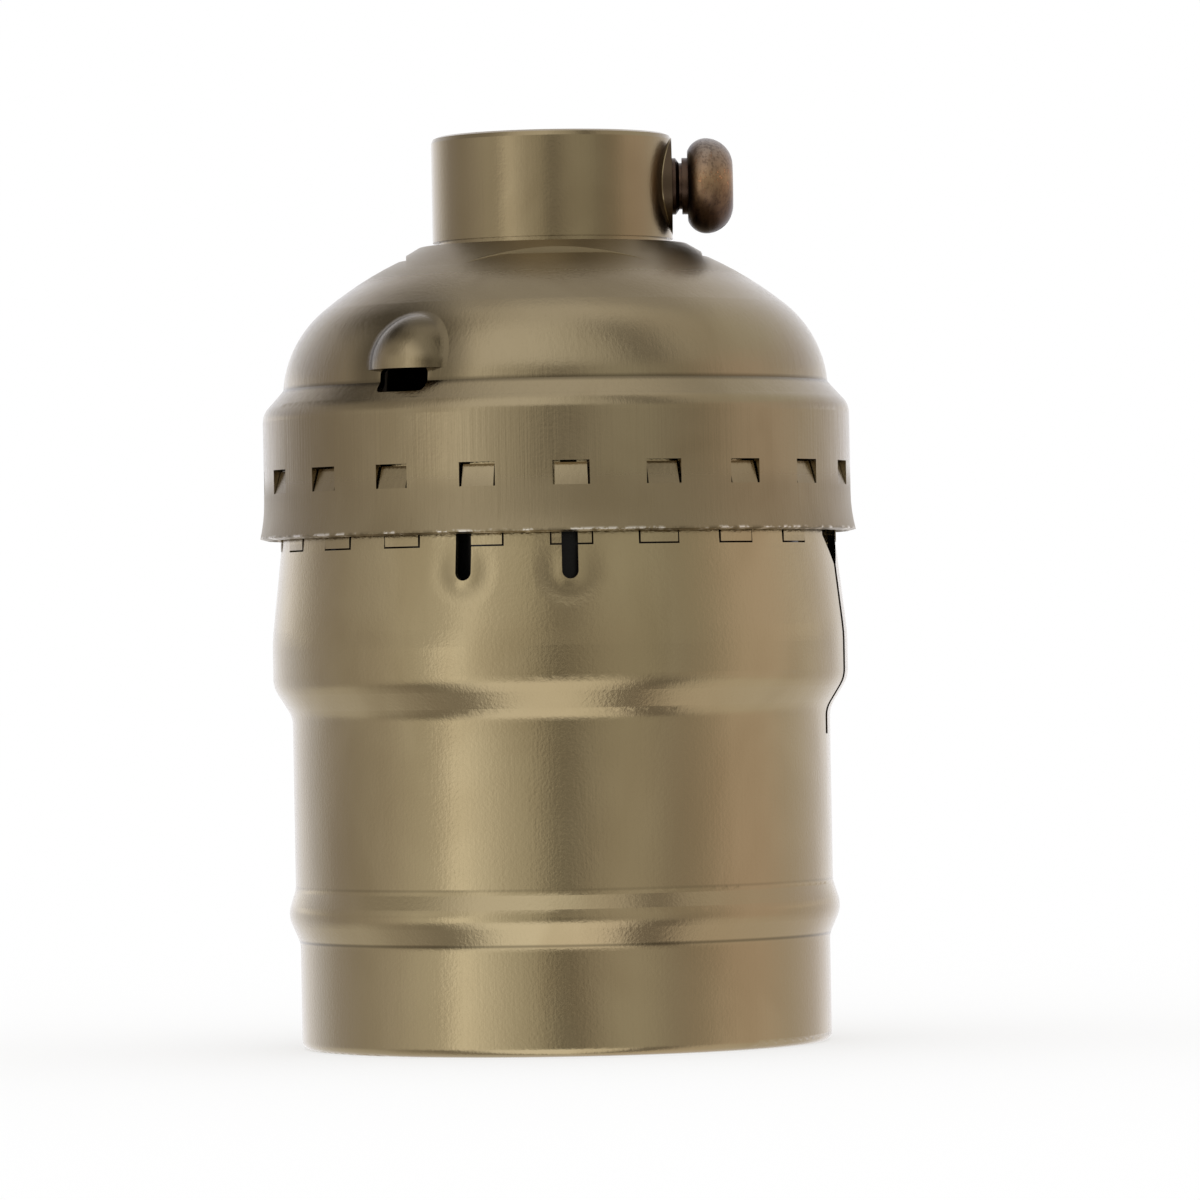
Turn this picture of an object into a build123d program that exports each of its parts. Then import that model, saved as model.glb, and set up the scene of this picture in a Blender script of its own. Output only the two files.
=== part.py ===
from build123d import *
import math
import os

# Lamp holder, millimetres. Origin at the centre of the mouth rim, +Z up to the neck,
# +X towards the set screw. Angles round the axis start at -Y and grow towards +X.

os.makedirs("parts", exist_ok=True)

# Overall and sheet
total_height = 54.0
shell_sheet = 0.45
cap_sheet = 0.45

# Outer shell from the mouth up: heights from the mouth, then each stage's step and height
mouth_r = 15.75
mouth_edge_r = 0.1
mouth_lip = 1.0
bead_bottom_z = 6.3
bead_peak_z = 7.95
bead_top_z = 9.5
bead_out = 0.72
bead_bend = 1.6
bead_foot_bend = 1.2
waist_out = 0.23
waist_bend = 1.6
shoulder_out = 1.12
shoulder_rise = 1.8
shoulder_h = 2.7
shoulder_bend = 1.8
crown_h = 5.7
crown_bend = 9.0
collar_in = 0.65
collar_h = 6.9
collar_show = 0.4

# Press slots, the long slit with its flare, and the lanced latches of the shell's collar
press_slot_w = 0.95
press_slot_below = 2.4
press_slot_angles = (-19.0, 2.6, 161.0, 182.6)
slit_angle = 79.0
slit_w = 0.65
slit_below = 1.5
flare_w = 4.6
flare_run = 1.7
latch_w = 2.5
latch_h = 3.0
latch_below = 0.45
latch_rise = 0.05
latch_slit = 0.1

# Cap, from the skirt's lip up to the neck's seat
skirt_clearance = 0.55
skirt_flare = 0.27
skirt_flare_h = 2.2
skirt_h = 7.9
skirt_ease_h = 1.0
step_low_in = 0.45
step_in = 0.8
step_h = 0.9
dome_foot_lean = 4.4
dome_shoulder_lean = 50.7
dome_shoulder_r = 6.7
crown_edge = 1.0
plateau_rise = 0.85
plateau_rim = 0.85
plateau_foot = 2.3
plateau_flat_out = 0.75
plateau_turn = 1.5

# Lanced teeth of the cap skirt
tooth_count = 20
tooth_phase = 3.0
tooth_w = 2.14
tooth_above = 2.6
tooth_h = 1.4
tooth_push = 0.42
tooth_slit = 0.12
root_inset = 0.04
root_depth = 0.35

# Stop window and the louvre pressed out over it
window_angle = -32.6
window_w = 3.3
window_h = 1.35
window_above = 0.3
window_corner = 0.3
louvre_r = 3.3
louvre_out = 0.95
louvre_blend = 0.8

# Neck collar
neck_r = 7.15
neck_h = 6.55
neck_edge = 0.35
neck_foot_gap = 0.3
neck_foot_in = 0.35
neck_wall_in = 0.6
neck_flange_out = 0.95
neck_flange_t = 0.6
neck_thread_r = 4.45
neck_thread_mouth = 0.7
neck_stop_in = 0.55
neck_stop_t = 0.7
pad_r = 2.9
pad_below = 3.1
pad_depth = 1.0

# Set screw
set_thread_r = 1.68
set_hole_clearance = 0.06
set_thread_depth = 0.3
set_pitch = 0.79
set_tip_gap = 0.25
set_shoulder_out = 0.6
set_head_gap = 0.25
set_head_rise = 1.3
set_head_h = 2.78
set_head_r = 2.83
set_head_recess = 0.55
set_slot_w = 0.8
set_slot_depth = 1.1

# Linings
lining_clearance = 0.2
lining_t = 0.6
cap_lining_t = 0.5
cap_lining_gap = 0.2
cap_lining_below = 1.7
cap_lining_hole = 1.5
cap_lining_notch = 0.4

# Moulded block
block_clearance = 0.45
block_below_collar = 3.2
block_h = 13.0
block_flange_t = 2.4
block_flange_out = 0.4
block_boss_drop = 1.2
boss_clearance = 0.4
bay_depth = 5.65
bay_w = 8.4
bay_below = 0.5
block_edge = 0.35

# Lamp screw shell
lamp_gap = 0.6
lamp_lead = 0.65
lamp_wave = 0.42
lamp_pitch = 3.629
lamp_sheet = 0.35
lamp_thread_bottom_z = 4.2
lamp_lead_h = 0.7
lamp_mouth_h = 1.8
sections_per_turn = 10

# Centre contact
contact_t = 0.4
contact_w = 4.4
contact_gap = 0.5
contact_root_x = 4.2
contact_eye_r = 1.25
contact_bend_x = 1.9
contact_low_x = -1.6
contact_tip_x = -3.0
contact_drop = 3.0
contact_curl = 1.4
contact_bend_r = 1.2

# Rivets
rivet_r = 0.9
rivet_head_r = 1.7
rivet_head_t = 0.6
rivet_tail_r = 1.25
rivet_clearance = 0.04
rivet_land = 0.85
well_r = 2.3

# Straps, terminal screws and saddles
strap_t = 0.8
strap_w = 6.4
strap_clearance = 0.1
strap_up = 3.5
strap_below_top = 1.0
strap_heel = 0.3
tail_gap = 0.05
terminal_up = 5.1
terminal_thread_r = 1.65
terminal_clearance = 0.06
terminal_len = 5.6
terminal_tip_gap = 0.5
terminal_point = 0.4
terminal_head_r = 2.9
terminal_head_t = 1.7
terminal_slot_w = 0.8
terminal_slot_depth = 0.9
saddle_t = 0.6

# Cover disc over the block, and its screws
cover_t = 1.6
cover_edge = 0.3
cover_wire_r = 2.2
cover_screw_y = 5.4
cover_screw_r = 1.2
cover_screw_point = 0.3
cover_head_r = 2.1
cover_head_t = 1.1
cover_head_wall = 0.2
cover_slot_w = 0.6
cover_screw_len = 6.0

# Play of a cutting tool past the wall that it cuts
past = 1.0

# Radii worked out from the mouth up
mouth_lip_r = mouth_r - mouth_lip
bead_r = mouth_r + bead_out
waist_r = mouth_r + waist_out
shoulder_r = waist_r + shoulder_out
collar_r = shoulder_r - collar_in
skirt_r = collar_r + skirt_clearance + cap_sheet
skirt_lip_r = skirt_r + skirt_flare
step_low_r = skirt_r - step_low_in
step_top_r = step_low_r - step_in

# Radii worked out from the neck
neck_shank_r = neck_r - neck_wall_in
neck_flange_r = neck_r + neck_flange_out
neck_stop_r = neck_thread_r - neck_stop_in
plateau_rim_r = neck_r + plateau_rim
plateau_foot_r = plateau_rim_r + plateau_foot
plateau_flat = plateau_rim_r + plateau_flat_out
dome_top_r = plateau_foot_r - crown_edge
cap_lining_hole_r = neck_flange_r + cap_lining_hole

# The dome: a round shoulder that leans in from the step, then a crown centred on the axis
foot_lean = math.radians(dome_foot_lean)
shoulder_lean = math.radians(dome_shoulder_lean)
dome_shoulder_x = step_top_r - dome_shoulder_r * math.cos(foot_lean)
dome_shoulder_drop = dome_shoulder_r * math.sin(foot_lean)
dome_turn_r = dome_shoulder_x + dome_shoulder_r * math.cos(shoulder_lean)
dome_turn_h = dome_shoulder_r * math.sin(shoulder_lean) - dome_shoulder_drop
dome_crown_r = dome_turn_r / math.cos(shoulder_lean)
dome_crown_drop = dome_turn_r * math.tan(shoulder_lean) - dome_turn_h
dome_h = math.sqrt(dome_crown_r**2 - dome_top_r**2) - dome_crown_drop

# Heights worked out from the top down
plateau_z = total_height - neck_h
dome_top_z = plateau_z - plateau_rise
step_top_z = dome_top_z - dome_h
step_low_z = step_top_z - step_h
skirt_bottom_z = step_low_z - skirt_h
skirt_flare_z = skirt_bottom_z + skirt_flare_h
tooth_hinge_z = skirt_bottom_z + tooth_above
tooth_top_z = tooth_hinge_z + tooth_h
window_bottom_z = step_low_z + window_above
window_top_z = window_bottom_z + window_h
collar_z = skirt_bottom_z - collar_show
collar_top_z = collar_z + collar_h
shoulder_top_z = collar_z - crown_h
shoulder_z = shoulder_top_z - shoulder_h
waist_top_z = shoulder_z - shoulder_rise
press_slot_bottom_z = collar_z - press_slot_below
slit_bottom_z = waist_top_z - slit_below
flare_bottom_z = collar_z - flare_run
latch_low_z = collar_z - latch_below
latch_top_z = latch_low_z + latch_h
pad_z = total_height - pad_below
dome_shoulder_z = step_top_z - dome_shoulder_drop
dome_crown_z = step_top_z - dome_crown_drop

# Insides worked out from the shell and the collar
block_top_z = collar_top_z - block_below_collar
block_bottom_z = block_top_z - block_h
lining_r = mouth_r - shell_sheet - lining_clearance
lamp_mouth_r = lining_r - lining_t - lamp_gap - lamp_sheet
lamp_mean_r = lamp_mouth_r - lamp_lead
flange_z = block_bottom_z - lamp_sheet
boss_bottom_z = block_bottom_z - block_boss_drop
contact_low_z = boss_bottom_z - contact_drop
block_flange_r = collar_r - shell_sheet - block_clearance
block_r = block_flange_r - block_flange_out
bay_floor_x = block_r - bay_depth
strap_seat_z = block_bottom_z + strap_up
strap_foot_z = strap_seat_z + strap_t
strap_top_z = block_top_z - strap_below_top
bay_bottom_z = strap_seat_z - bay_below
terminal_z = strap_seat_z + terminal_up
neutral_rivet_x = bay_floor_x - rivet_tail_r - tail_gap
lamp_flange_hole_r = neutral_rivet_x - rivet_r - rivet_clearance - rivet_land
block_boss_r = lamp_flange_hole_r - boss_clearance
shell_rivet_y = (lamp_mean_r + lamp_flange_hole_r) / 2
cover_r = block_r
cover_top_z = block_top_z + cover_t

# Set screw along its own axis, from the lamp holder's axis outwards
set_core_r = set_thread_r - set_thread_depth
set_tip_x = neck_thread_r + set_tip_gap
set_shoulder_x = neck_r + set_shoulder_out
set_head_x = set_shoulder_x + set_head_gap
set_head_mid_x = set_head_x + set_head_rise
set_head_end_x = set_head_x + set_head_h

tooth_angles = [tooth_phase + index * 360 / tooth_count for index in range(tooth_count)]


def joined(*lines):
    """One wire from lines that follow one another."""
    return Wire([edge for line in lines for edge in line.edges()])


def upright(face):
    """Stand a face drawn in x and y up, so that its y runs along the lamp holder's axis."""
    return Rot(90, 0, 0) * face


def turned(face):
    """Full turn about the axis of a face drawn as radius and height."""
    return revolve(upright(face), Axis.Z, 360)


def sector(points, angle, width, at_r):
    """Closed outline in (r, z) turned through the arc that is width long at radius at_r."""
    span = math.degrees(width / at_r)
    face = upright(make_face(Polyline(*points, close=True)))
    return Rot(0, 0, angle - 90 - span / 2) * revolve(face, Axis.Z, span)


def outward(solid, start):
    """Lay a shape drawn across and up, and extruded, along X from a starting radius."""
    return Pos(start, 0, 0) * Rot(0, 90, 0) * Rot(0, 0, 90) * solid


def radial_block(inner, outer, width, low, high, angle, corner=0.0):
    """Box from radius inner to outer with its middle at this angle."""
    plate = Rectangle(width, high - low)
    if corner:
        plate = RectangleRounded(width, high - low, corner)
    solid = extrude(plate, outer - inner)
    return Rot(0, 0, angle - 90) * Pos(0, 0, (low + high) / 2) * outward(solid, inner)


def ring(outer, inner, low, high):
    """Plain ring about the axis."""
    return Pos(0, 0, (low + high) / 2) * (
        Cylinder(outer, high - low) - Cylinder(inner, high - low + past)
    )


def disc(radius, low, high, x=0.0, y=0.0):
    """Upright cylinder at x, y."""
    return Pos(x, y, (low + high) / 2) * Cylinder(radius, high - low)


def rod(radius, start, end, z, y=0.0):
    """Cylinder along X."""
    return Pos((start + end) / 2, y, z) * Rot(0, 90, 0) * Cylinder(radius, end - start)


def sheet_face(line, thickness):
    """Section of a sheet whose outer side is the line and whose metal lies inside it."""
    inner_side = offset(line, thickness, side=Side.LEFT)
    return make_face(inner_side)


# Outer shell
def ends_upright(start, end):
    """Arc from start to end that runs upright where it ends."""
    backwards = TangentArc(end, start, tangent=(0, -1))
    return ThreePointArc(start, backwards @ 0.5, end)


def shell_outline():
    """Outer side of the shell wall from the mouth lip to the collar's top edge."""
    corners = [
        (mouth_lip_r, 0),
        (mouth_r, 0),
        (mouth_r, bead_bottom_z),
        (bead_r, bead_peak_z),
        (waist_r, bead_top_z),
        (waist_r, waist_top_z),
        (shoulder_r, shoulder_z),
        (shoulder_r, shoulder_top_z),
        (collar_r, collar_z),
        (collar_r, collar_top_z),
    ]
    bends = [
        mouth_edge_r + shell_sheet,
        bead_foot_bend,
        bead_bend,
        bead_foot_bend,
        waist_bend,
        shoulder_bend,
        crown_bend,
        crown_bend,
    ]
    return FilletPolyline(*corners, radius=bends)


def build_outer_shell():
    """Drawn shell with its press slots, its long slit and the latches under the skirt's lip."""
    shell = turned(sheet_face(shell_outline(), shell_sheet))
    wall_in = collar_r - 3 * shell_sheet
    wall_out = shoulder_r + shell_sheet
    over_top = collar_top_z + past
    taper = collar_in / crown_h
    foot_r = collar_r + taper * latch_below / 2 + latch_rise
    window = [
        (collar_r - 2 * shell_sheet, latch_low_z),
        (wall_out, latch_low_z),
        (wall_out, latch_top_z),
        (collar_r - 2 * shell_sheet, latch_top_z),
    ]
    tab = [
        (foot_r, latch_low_z + latch_slit),
        (foot_r, collar_z),
        (collar_r - root_inset, latch_top_z),
        (collar_r - root_inset, latch_top_z + root_depth),
        (collar_r - shell_sheet + root_inset, latch_top_z + root_depth),
        (collar_r - shell_sheet + root_inset, latch_top_z),
        (foot_r - shell_sheet, collar_z),
        (foot_r - shell_sheet, latch_low_z + latch_slit),
    ]
    clear_of_flare = math.degrees((flare_w + latch_w) / 2 / collar_r) + 1
    latches = [angle for angle in tooth_angles if abs(angle - slit_angle) > clear_of_flare]
    shell -= [sector(window, angle, latch_w, collar_r) for angle in latches]
    shell += [sector(tab, angle, latch_w - 2 * latch_slit, collar_r) for angle in latches]
    for angle in press_slot_angles:
        round_z = press_slot_bottom_z + press_slot_w / 2
        shell -= radial_block(wall_in, wall_out, press_slot_w, round_z, over_top, angle)
        foot = rod(press_slot_w / 2, wall_in, wall_out, round_z)
        shell -= Rot(0, 0, angle - 90) * foot
    half = slit_w / 2
    slit = Polyline(
        (-half, slit_bottom_z),
        (half, slit_bottom_z),
        (half, flare_bottom_z),
        (flare_w / 2, collar_z),
        (flare_w / 2, over_top),
        (-flare_w / 2, over_top),
        (-flare_w / 2, collar_z),
        (-half, flare_bottom_z),
        close=True,
    )
    low_in = waist_r - 3 * shell_sheet
    slit_cut = outward(extrude(make_face(slit), wall_out - low_in), low_in)
    shell -= Rot(0, 0, slit_angle - 90) * slit_cut
    return shell


# Cap
def dome_lines(inside=0.0, top_r=dome_top_r):
    """The dome's line, moved inside by this much: its shoulder's arc and then its crown's."""
    shoulder = dome_shoulder_r - inside
    crown = dome_crown_r - inside
    foot, middle, turn = [
        (dome_shoulder_x + shoulder * math.cos(lean), dome_shoulder_z + shoulder * math.sin(lean))
        for lean in (foot_lean, (foot_lean + shoulder_lean) / 2, shoulder_lean)
    ]
    half_r = (turn[0] + top_r) / 2
    half_way = (half_r, dome_crown_z + math.sqrt(crown**2 - half_r**2))
    top = (top_r, dome_crown_z + math.sqrt(crown**2 - top_r**2))
    return ThreePointArc(foot, middle, turn), ThreePointArc(turn, half_way, top)


def dome_at(radius):
    """Height of the dome's outer side at a radius on its crown."""
    return dome_crown_z + math.sqrt(dome_crown_r**2 - radius**2)


def dome_radius_at(height):
    """Radius of the dome's outer side at a height on its shoulder."""
    return dome_shoulder_x + math.sqrt(dome_shoulder_r**2 - (height - dome_shoulder_z) ** 2)


def cap_outline():
    """Outer side of the cap wall from the skirt lip up to the dome's crown."""
    lip = ends_upright((skirt_lip_r, skirt_bottom_z), (skirt_r, skirt_flare_z))
    skirt = Line((skirt_r, skirt_flare_z), (skirt_r, step_low_z - skirt_ease_h))
    ease = TangentArc(skirt @ 1, (step_low_r, step_low_z), tangent=(0, 1))
    step = Line((step_low_r, step_low_z), (step_top_r, step_top_z))
    return joined(lip, skirt, ease, step, *dome_lines())


def build_plateau():
    """Raised seat of the neck, round with four flats pressed into its foot."""
    section = make_face(
        Polyline(
            (neck_shank_r, plateau_z),
            (plateau_rim_r, plateau_z),
            (plateau_foot_r, dome_at(plateau_foot_r)),
            (plateau_foot_r, dome_at(plateau_foot_r) - cap_sheet / 2),
            (dome_top_r, dome_top_z - cap_sheet / 2),
            (neck_shank_r, dome_top_z - cap_sheet / 2),
            close=True,
        )
    )
    seat = turned(section)
    height = plateau_z - dome_top_z + 3 * cap_sheet
    square = Pos(0, 0, plateau_z + cap_sheet - height / 2) * Box(
        2 * plateau_flat, 2 * plateau_flat, height
    )
    return seat & (Rot(0, 0, plateau_turn) * square)


def build_louvre(cap):
    """Cut the stop window and press the metal over it out into a round louvre."""
    far = step_low_r + 2 * past
    near = step_top_r - 3 * past
    cap -= radial_block(near, far, window_w, window_bottom_z, window_top_z, window_angle, window_corner)
    shoulder, crown = dome_lines(cap_sheet / 2)
    top = crown @ 1
    foot = shoulder @ 0
    middle = turned(make_face(joined(shoulder, crown, Polyline(top, (0, top.Y), (0, foot.Y), foot))))
    centre_r = dome_radius_at(window_top_z) + louvre_out - louvre_r
    centre = Rot(0, 0, window_angle - 90) * Pos(centre_r, 0, window_top_z)
    upper = (Align.CENTER, Align.CENTER, Align.NONE)
    hollow = centre * Sphere(louvre_r - cap_sheet, arc_size1=0, arc_size2=90, align=upper)
    hood = centre * Sphere(louvre_r, arc_size1=0, arc_size2=90, align=upper) - middle - hollow
    cap = cap - hollow + hood
    ball_middle = centre.position
    seam = [
        edge
        for edge in cap.edges().filter_by(GeomType.LINE, reverse=True)
        if all(abs((edge @ at - ball_middle).length - louvre_r) < root_inset / 4 for at in (0.2, 0.5, 0.8))
        and (edge @ 0.5).Z > window_top_z + root_inset
    ]
    return fillet(seam, louvre_blend)


def build_cap():
    """Spun cap with its seat for the neck, its lanced teeth and its stop window."""
    cap = turned(sheet_face(cap_outline(), cap_sheet))
    cap += ring(dome_top_r, neck_shank_r, dome_top_z - cap_sheet, dome_top_z)
    cap += build_plateau()
    cap -= disc(neck_shank_r, dome_top_z - 2 * past, plateau_z + past)
    inner_r = skirt_r - cap_sheet
    lance_top = tooth_top_z - tooth_slit
    opening = [
        (inner_r - cap_sheet, tooth_hinge_z),
        (skirt_r + cap_sheet, tooth_hinge_z),
        (skirt_r + cap_sheet, tooth_top_z),
        (inner_r - cap_sheet, tooth_top_z),
    ]
    tab = [
        (inner_r + root_inset, tooth_hinge_z - root_depth),
        (skirt_r - root_inset, tooth_hinge_z - root_depth),
        (skirt_r - root_inset, tooth_hinge_z),
        (skirt_r - tooth_push, lance_top),
        (inner_r - tooth_push, lance_top),
        (inner_r + root_inset, tooth_hinge_z),
    ]
    cap -= [sector(opening, angle, tooth_w, skirt_r) for angle in tooth_angles]
    cap += [sector(tab, angle, tooth_w - 2 * tooth_slit, skirt_r) for angle in tooth_angles]
    return build_louvre(cap)


# Neck collar
def build_neck_collar():
    """Threaded collar with its flange under the cap and a flat pad for the set screw."""
    low = plateau_z
    flange_top = dome_top_z - cap_sheet
    flange_low = flange_top - neck_flange_t
    body = make_face(
        Polyline(
            (neck_stop_r, flange_low),
            (neck_flange_r, flange_low),
            (neck_flange_r, flange_top),
            (neck_shank_r, flange_top),
            (neck_shank_r, low),
            (neck_r - neck_foot_in, low),
            (neck_r - neck_foot_in, low + neck_foot_gap),
            (neck_r, low + neck_foot_gap),
            (neck_r, total_height - neck_edge),
            (neck_r - neck_edge * 0.3, total_height - neck_edge * 0.3),
            (neck_r - neck_edge, total_height),
            (neck_thread_r + neck_thread_mouth, total_height),
            (neck_thread_r, total_height - neck_thread_mouth),
            (neck_thread_r, flange_low + neck_stop_t),
            (neck_stop_r, flange_low + neck_stop_t),
            close=True,
        )
    )
    collar = turned(body)
    collar += rod(pad_r, neck_r - pad_depth, neck_r, pad_z)
    collar -= rod(set_thread_r + set_hole_clearance, 0, neck_r + past, pad_z)
    return collar


# Set screw
def build_set_screw():
    """Thumb screw with a dished back, a domed head, a driver slot and a ringed thread."""
    head_back = set_head_x + set_head_recess
    tip_edge = set_thread_depth
    back_r = set_head_r * 0.74
    back_x = set_head_x + set_head_recess * 0.18
    crown_r = set_head_r * 0.4
    outline = joined(
        Polyline(
            (set_tip_x, 0),
            (set_tip_x, set_core_r - tip_edge),
            (set_tip_x + tip_edge, set_core_r),
            (set_shoulder_x, set_core_r),
            (set_shoulder_x, set_thread_r),
            (head_back, set_thread_r),
            (back_x, back_r),
        ),
        ThreePointArc(
            (back_x, back_r),
            (set_head_x + set_head_rise * 0.35, set_head_r * 0.91),
            (set_head_mid_x, set_head_r),
        ),
        ThreePointArc(
            (set_head_mid_x, set_head_r),
            (set_head_end_x - set_head_rise * 0.35, set_head_r * 0.83),
            (set_head_end_x, crown_r),
        ),
        Polyline((set_head_end_x, crown_r), (set_head_end_x, 0), (set_tip_x, 0)),
    )
    screw = revolve(make_face(outline), Axis.X, 360)
    crest = set_pitch * 0.12
    root = set_pitch * 0.42
    turns = int((set_shoulder_x - set_tip_x - set_pitch / 2) / set_pitch)
    for index in range(turns):
        middle = set_shoulder_x - (index + 0.6) * set_pitch
        ridge = make_face(
            Polyline(
                (middle - root, set_core_r - root_inset),
                (middle - crest, set_thread_r),
                (middle + crest, set_thread_r),
                (middle + root, set_core_r - root_inset),
                close=True,
            )
        )
        screw += revolve(ridge, Axis.X, 360)
    slot = Pos(set_head_end_x - set_slot_depth + past, 0, 0) * Box(2 * past, set_slot_w, 3 * set_head_r)
    return Pos(0, 0, pad_z) * (screw - slot)


# Linings
def build_shell_lining():
    """Card sleeve that stands on the mouth's lip and backs the screw shell."""
    return ring(lining_r, lining_r - lining_t, shell_sheet, block_bottom_z)


def build_cap_lining():
    """Card dome inside the cap, cut away round the stop window."""
    inside = cap_sheet + cap_lining_gap
    shoulder, crown = dome_lines(inside, cap_lining_hole_r)
    foot = shoulder @ 0
    wall = Line((foot.X, step_top_z - cap_lining_below), foot)
    lining = turned(sheet_face(joined(wall, shoulder, crown), cap_lining_t))
    notch_top = window_top_z + louvre_r + cap_lining_notch
    notch = [
        (cap_lining_hole_r + past, window_bottom_z - 2 * past),
        (skirt_r, window_bottom_z - 2 * past),
        (skirt_r, notch_top),
        (cap_lining_hole_r + past, notch_top),
    ]
    return lining - sector(notch, window_angle, window_w + past, step_top_r)


# Moulded block
def build_base_block():
    """Moulded block with two wiring bays, its rivet holes, wells and cover screw holes."""
    flange_top = block_bottom_z + block_flange_t
    section = make_face(
        Polyline(
            (0, boss_bottom_z),
            (block_boss_r, boss_bottom_z),
            (block_boss_r, block_bottom_z),
            (block_flange_r, block_bottom_z),
            (block_flange_r, flange_top - block_edge),
            (block_flange_r - block_edge, flange_top),
            (block_r, flange_top),
            (block_r, block_top_z),
            (0, block_top_z),
            close=True,
        )
    )
    block = turned(section)
    bay_len = block_flange_r + 2 * past - bay_floor_x
    bay_h = block_top_z + past - bay_bottom_z
    for side in (1, -1):
        bay = Box(bay_len, bay_w, bay_h)
        block -= Pos(side * (bay_floor_x + bay_len / 2), 0, bay_bottom_z + bay_h / 2) * bay
        block -= rod(
            terminal_thread_r + terminal_clearance,
            min(side * (bay_floor_x - terminal_len), side * (bay_floor_x + past)),
            max(side * (bay_floor_x - terminal_len), side * (bay_floor_x + past)),
            terminal_z,
        )
    hole_r = rivet_r + rivet_clearance
    block -= disc(hole_r, boss_bottom_z - past, block_top_z, x=contact_root_x)
    block -= disc(hole_r, boss_bottom_z - past, block_top_z, x=-neutral_rivet_x)
    block -= strap_channel(contact_root_x, 1)
    block -= strap_channel(neutral_rivet_x, -1)
    for side in (1, -1):
        block -= disc(hole_r, boss_bottom_z - past, block_top_z, y=side * shell_rivet_y)
        block -= disc(well_r, strap_seat_z, block_top_z + past, y=side * shell_rivet_y)
        block -= disc(
            cover_screw_r + terminal_clearance,
            cover_top_z - cover_screw_len,
            block_top_z + past,
            y=side * cover_screw_y,
        )
    return block


def strap_channel(rivet_x, side):
    """Channel for a strap's foot, with the riveting well over the rivet."""
    inner = rivet_x - well_r - strap_clearance
    length = bay_floor_x + 2 * strap_clearance - inner
    width = strap_w + 2 * strap_clearance
    height = strap_foot_z + strap_clearance - strap_seat_z
    channel = Pos(side * (inner + length / 2), 0, strap_seat_z + height / 2) * Box(length, width, height)
    return channel + disc(well_r, strap_seat_z, block_top_z + past, x=side * rivet_x)


# Lamp screw shell
def thread_skin(radius):
    """Round thread: a circle carried up a small helix, parallel to the mouth."""
    turns = (flange_z - lamp_pitch / 2 - lamp_thread_bottom_z) / lamp_pitch
    count = int(turns * sections_per_turn)
    rings = []
    for index in range(count + 1):
        z = lamp_thread_bottom_z + index * lamp_pitch / sections_per_turn
        turn = 2 * math.pi * index / sections_per_turn
        centre = (lamp_wave * math.cos(turn), lamp_wave * math.sin(turn), z)
        rings.append(Pos(*centre) * Circle(radius))
    return loft(rings), z, turn


def build_screw_shell():
    """Rolled brass lamp thread with a plain mouth and a flange riveted under the block."""
    outer, top_z, turn = thread_skin(lamp_mean_r + lamp_sheet)
    inner, top_z, turn = thread_skin(lamp_mean_r)
    last = (lamp_wave * math.cos(turn), lamp_wave * math.sin(turn))
    tube = outer - inner
    mouth_high = lamp_thread_bottom_z - lamp_lead_h
    mouth_low = mouth_high - lamp_mouth_h
    entry = ring(lamp_mouth_r + lamp_sheet, lamp_mouth_r, mouth_low, mouth_high)
    lead_outer = loft([
        Pos(0, 0, mouth_high) * Circle(lamp_mouth_r + lamp_sheet),
        Pos(lamp_wave, 0, lamp_thread_bottom_z) * Circle(lamp_mean_r + lamp_sheet),
    ])
    lead_inner = loft([
        Pos(0, 0, mouth_high) * Circle(lamp_mouth_r),
        Pos(lamp_wave, 0, lamp_thread_bottom_z) * Circle(lamp_mean_r),
    ])
    neck_outer = loft([
        Pos(last[0], last[1], top_z) * Circle(lamp_mean_r + lamp_sheet),
        Pos(0, 0, flange_z) * Circle(lamp_mean_r),
    ])
    neck_inner = loft([
        Pos(last[0], last[1], top_z) * Circle(lamp_mean_r),
        Pos(0, 0, flange_z) * Circle(lamp_mean_r - lamp_sheet),
    ])
    top = ring(lamp_mean_r, lamp_flange_hole_r, flange_z, block_bottom_z)
    for x, y in ((-neutral_rivet_x, 0), (0, shell_rivet_y), (0, -shell_rivet_y)):
        top -= disc(rivet_r + rivet_clearance, flange_z - past, block_bottom_z + past, x=x, y=y)
    return entry + (lead_outer - lead_inner) + tube + (neck_outer - neck_inner) + top


# Centre contact
def build_centre_contact():
    """Sprung strip with an eye for its rivet and a curled tip."""
    top = boss_bottom_z - contact_gap
    low = top - contact_t
    line = FilletPolyline(
        (contact_root_x, top),
        (contact_bend_x, top),
        (contact_low_x, contact_low_z + contact_t),
        (contact_tip_x, contact_low_z + contact_curl),
        radius=contact_bend_r,
    )
    strip = extrude(upright(sheet_face(line, contact_t)), contact_w / 2, both=True)
    eye = disc(contact_w / 2, low, top, x=contact_root_x)
    hole = disc(contact_eye_r, low - past, top + past, x=contact_root_x)
    return strip + eye - hole


# Rivets
def rivet(x, y, head_top_z, seat_z):
    """Rivet with a domed head below and an upset tail above its seat."""
    head_low = head_top_z - rivet_head_t
    body = make_face(
        Polyline(
            (0, head_low),
            (rivet_head_r * 0.6, head_low),
            (rivet_head_r, head_low + rivet_head_t * 0.55),
            (rivet_head_r, head_top_z),
            (rivet_r, head_top_z),
            (rivet_r, seat_z),
            (rivet_tail_r, seat_z),
            (rivet_tail_r * 0.8, seat_z + rivet_head_t),
            (0, seat_z + rivet_head_t),
            close=True,
        )
    )
    return Pos(x, y, 0) * turned(body)


def build_contact_rivet():
    """Rivet that joins the contact strip to the hot strap."""
    return rivet(contact_root_x, 0, boss_bottom_z - 2 * contact_gap - contact_t, strap_foot_z)


def build_neutral_rivet():
    """Rivet that joins the screw shell's flange to the neutral strap."""
    return rivet(-neutral_rivet_x, 0, flange_z, strap_foot_z)


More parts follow.
